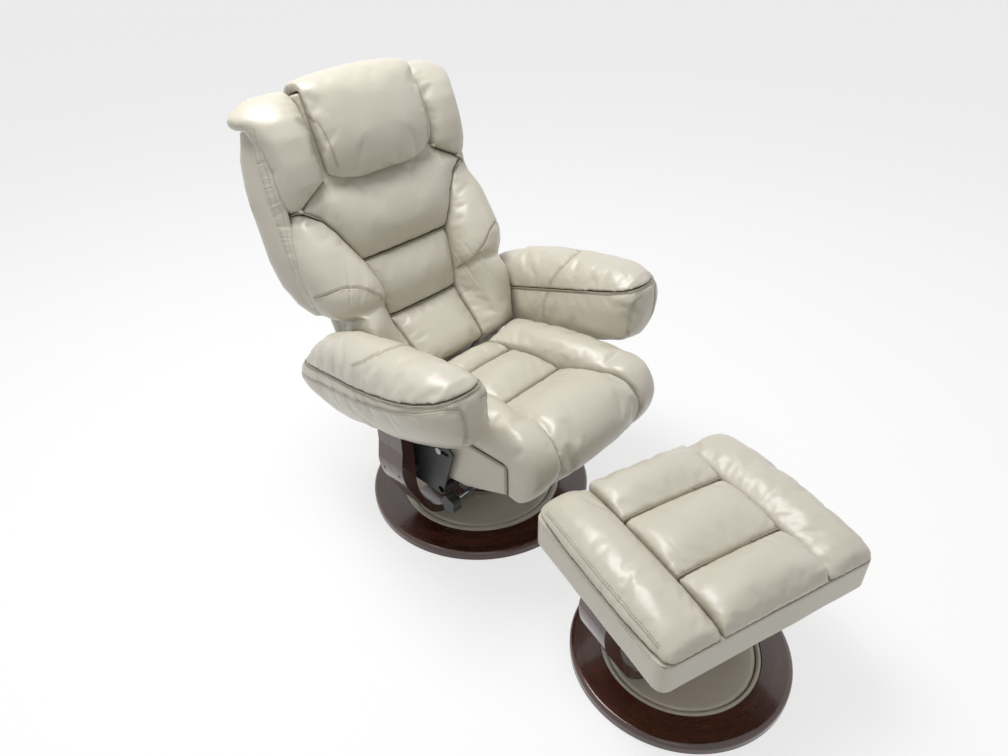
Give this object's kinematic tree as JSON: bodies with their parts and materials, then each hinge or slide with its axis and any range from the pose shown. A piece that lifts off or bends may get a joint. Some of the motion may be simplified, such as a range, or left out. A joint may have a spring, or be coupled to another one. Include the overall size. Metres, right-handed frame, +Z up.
{
  "type": "swivel recliner with ottoman",
  "caption": "Padded leather swivel recliner on a round timber base, with bentwood yoke, reclining back, gliding seat and a matching ottoman.",
  "frame": {"origin": "centre of the chair's round base on the floor", "axes": "+Z up, the chair faces -Y, +X is the sitter's left"},
  "size_m": [0.8193, 1.4991, 1.0886],
  "materials": {
    "leather": "smooth glossy cream leather",
    "dark_timber": "dark reddish brown polished timber",
    "plywood": "plain plywood",
    "felt": "dark felt",
    "black_plastic": "moulded black plastic",
    "webbing": "woven elastic webbing",
    "zinc_steel": "zinc plated steel",
    "dark_steel": "black painted steel"
  },
  "bodies": {
    "base": {"base_ring": "dark_timber", "base_board": "plywood", "base_screws": "zinc_steel", "base_inlay_pad": "leather", "base_piping": "leather", "base_floor_glides": "felt", "bearing_lower_plate": "zinc_steel", "bearing_balls": "zinc_steel"},
    "frame": {"bearing_upper_plate": "zinc_steel", "bentwood_yoke": "dark_timber", "yoke_bolts": "dark_steel", "left_mechanism_plate": "dark_steel", "right_mechanism_plate": "dark_steel", "mechanism_cross_tubes": "dark_steel", "upright_bolts": "dark_steel", "hip_pivot_bolts": "zinc_steel", "knob_bracket": "dark_steel", "left_arm_core": "plywood", "right_arm_core": "plywood", "left_arm_body": "leather", "right_arm_body": "leather", "left_arm_pad": "leather", "right_arm_pad": "leather"},
    "knob": {"recline_knob": "black_plastic", "knob_rod": "zinc_steel"},
    "seat": {"seat_frame": "plywood", "seat_webbing": "webbing", "seat_guide_pins": "zinc_steel", "seat_apron": "leather", "seat_rear_panel": "leather", "seat_middle_panel": "leather", "seat_front_panel": "leather", "left_seat_bolster": "leather", "right_seat_bolster": "leather"},
    "back": {"back_frame": "dark_steel", "back_webbing": "webbing", "back_shell": "leather", "lower_back_panel": "leather", "lumbar_panel": "leather", "upper_back_panel": "leather", "left_lower_wing": "leather", "right_lower_wing": "leather", "left_upper_wing": "leather", "right_upper_wing": "leather", "head_pillow": "leather"},
    "ottoman": {"ottoman_ring": "dark_timber", "ottoman_base_board": "plywood", "ottoman_inlay_pad": "leather", "ottoman_piping": "leather", "ottoman_floor_glides": "felt", "ottoman_bearing": "zinc_steel", "ottoman_yoke": "dark_timber", "ottoman_fasteners": "dark_steel", "ottoman_frame": "plywood", "ottoman_apron": "leather", "ottoman_near_panel": "leather", "ottoman_middle_panel": "leather", "ottoman_far_panel": "leather", "ottoman_left_bolster": "leather", "ottoman_right_bolster": "leather"}
  },
  "joints": [
    {"name": "base_swivel", "type": "hinge", "parent": "base", "child": "frame", "pos_m": [0, 0, 0.036], "axis": [0, 0, 1], "continuous": true},
    {"name": "back_recline", "type": "hinge", "parent": "frame", "child": "back", "pos_m": [0, 0.06, 0.318], "axis": [-1, 0, 0], "range_deg": [0, 25]},
    {"name": "seat_glide", "type": "slide", "parent": "frame", "child": "seat", "axis": [0, -0.9903, 0.1392], "range_m": [0, 0.02954]},
    {"name": "knob_turn", "type": "hinge", "parent": "frame", "child": "knob", "pos_m": [-0.268, -0.156, 0.196], "axis": [-1, 0, 0], "range_deg": [0, 360]},
    {"name": "ottoman_slide", "type": "slide", "parent": "base", "child": "ottoman", "axis": [-0.314, -0.9494, 0], "range_m": [0, 0.4]}
  ],
  "couplings": [
    {"joint": "seat_glide", "follows": "back_recline", "m_per_rad": 0.067462}
  ]
}
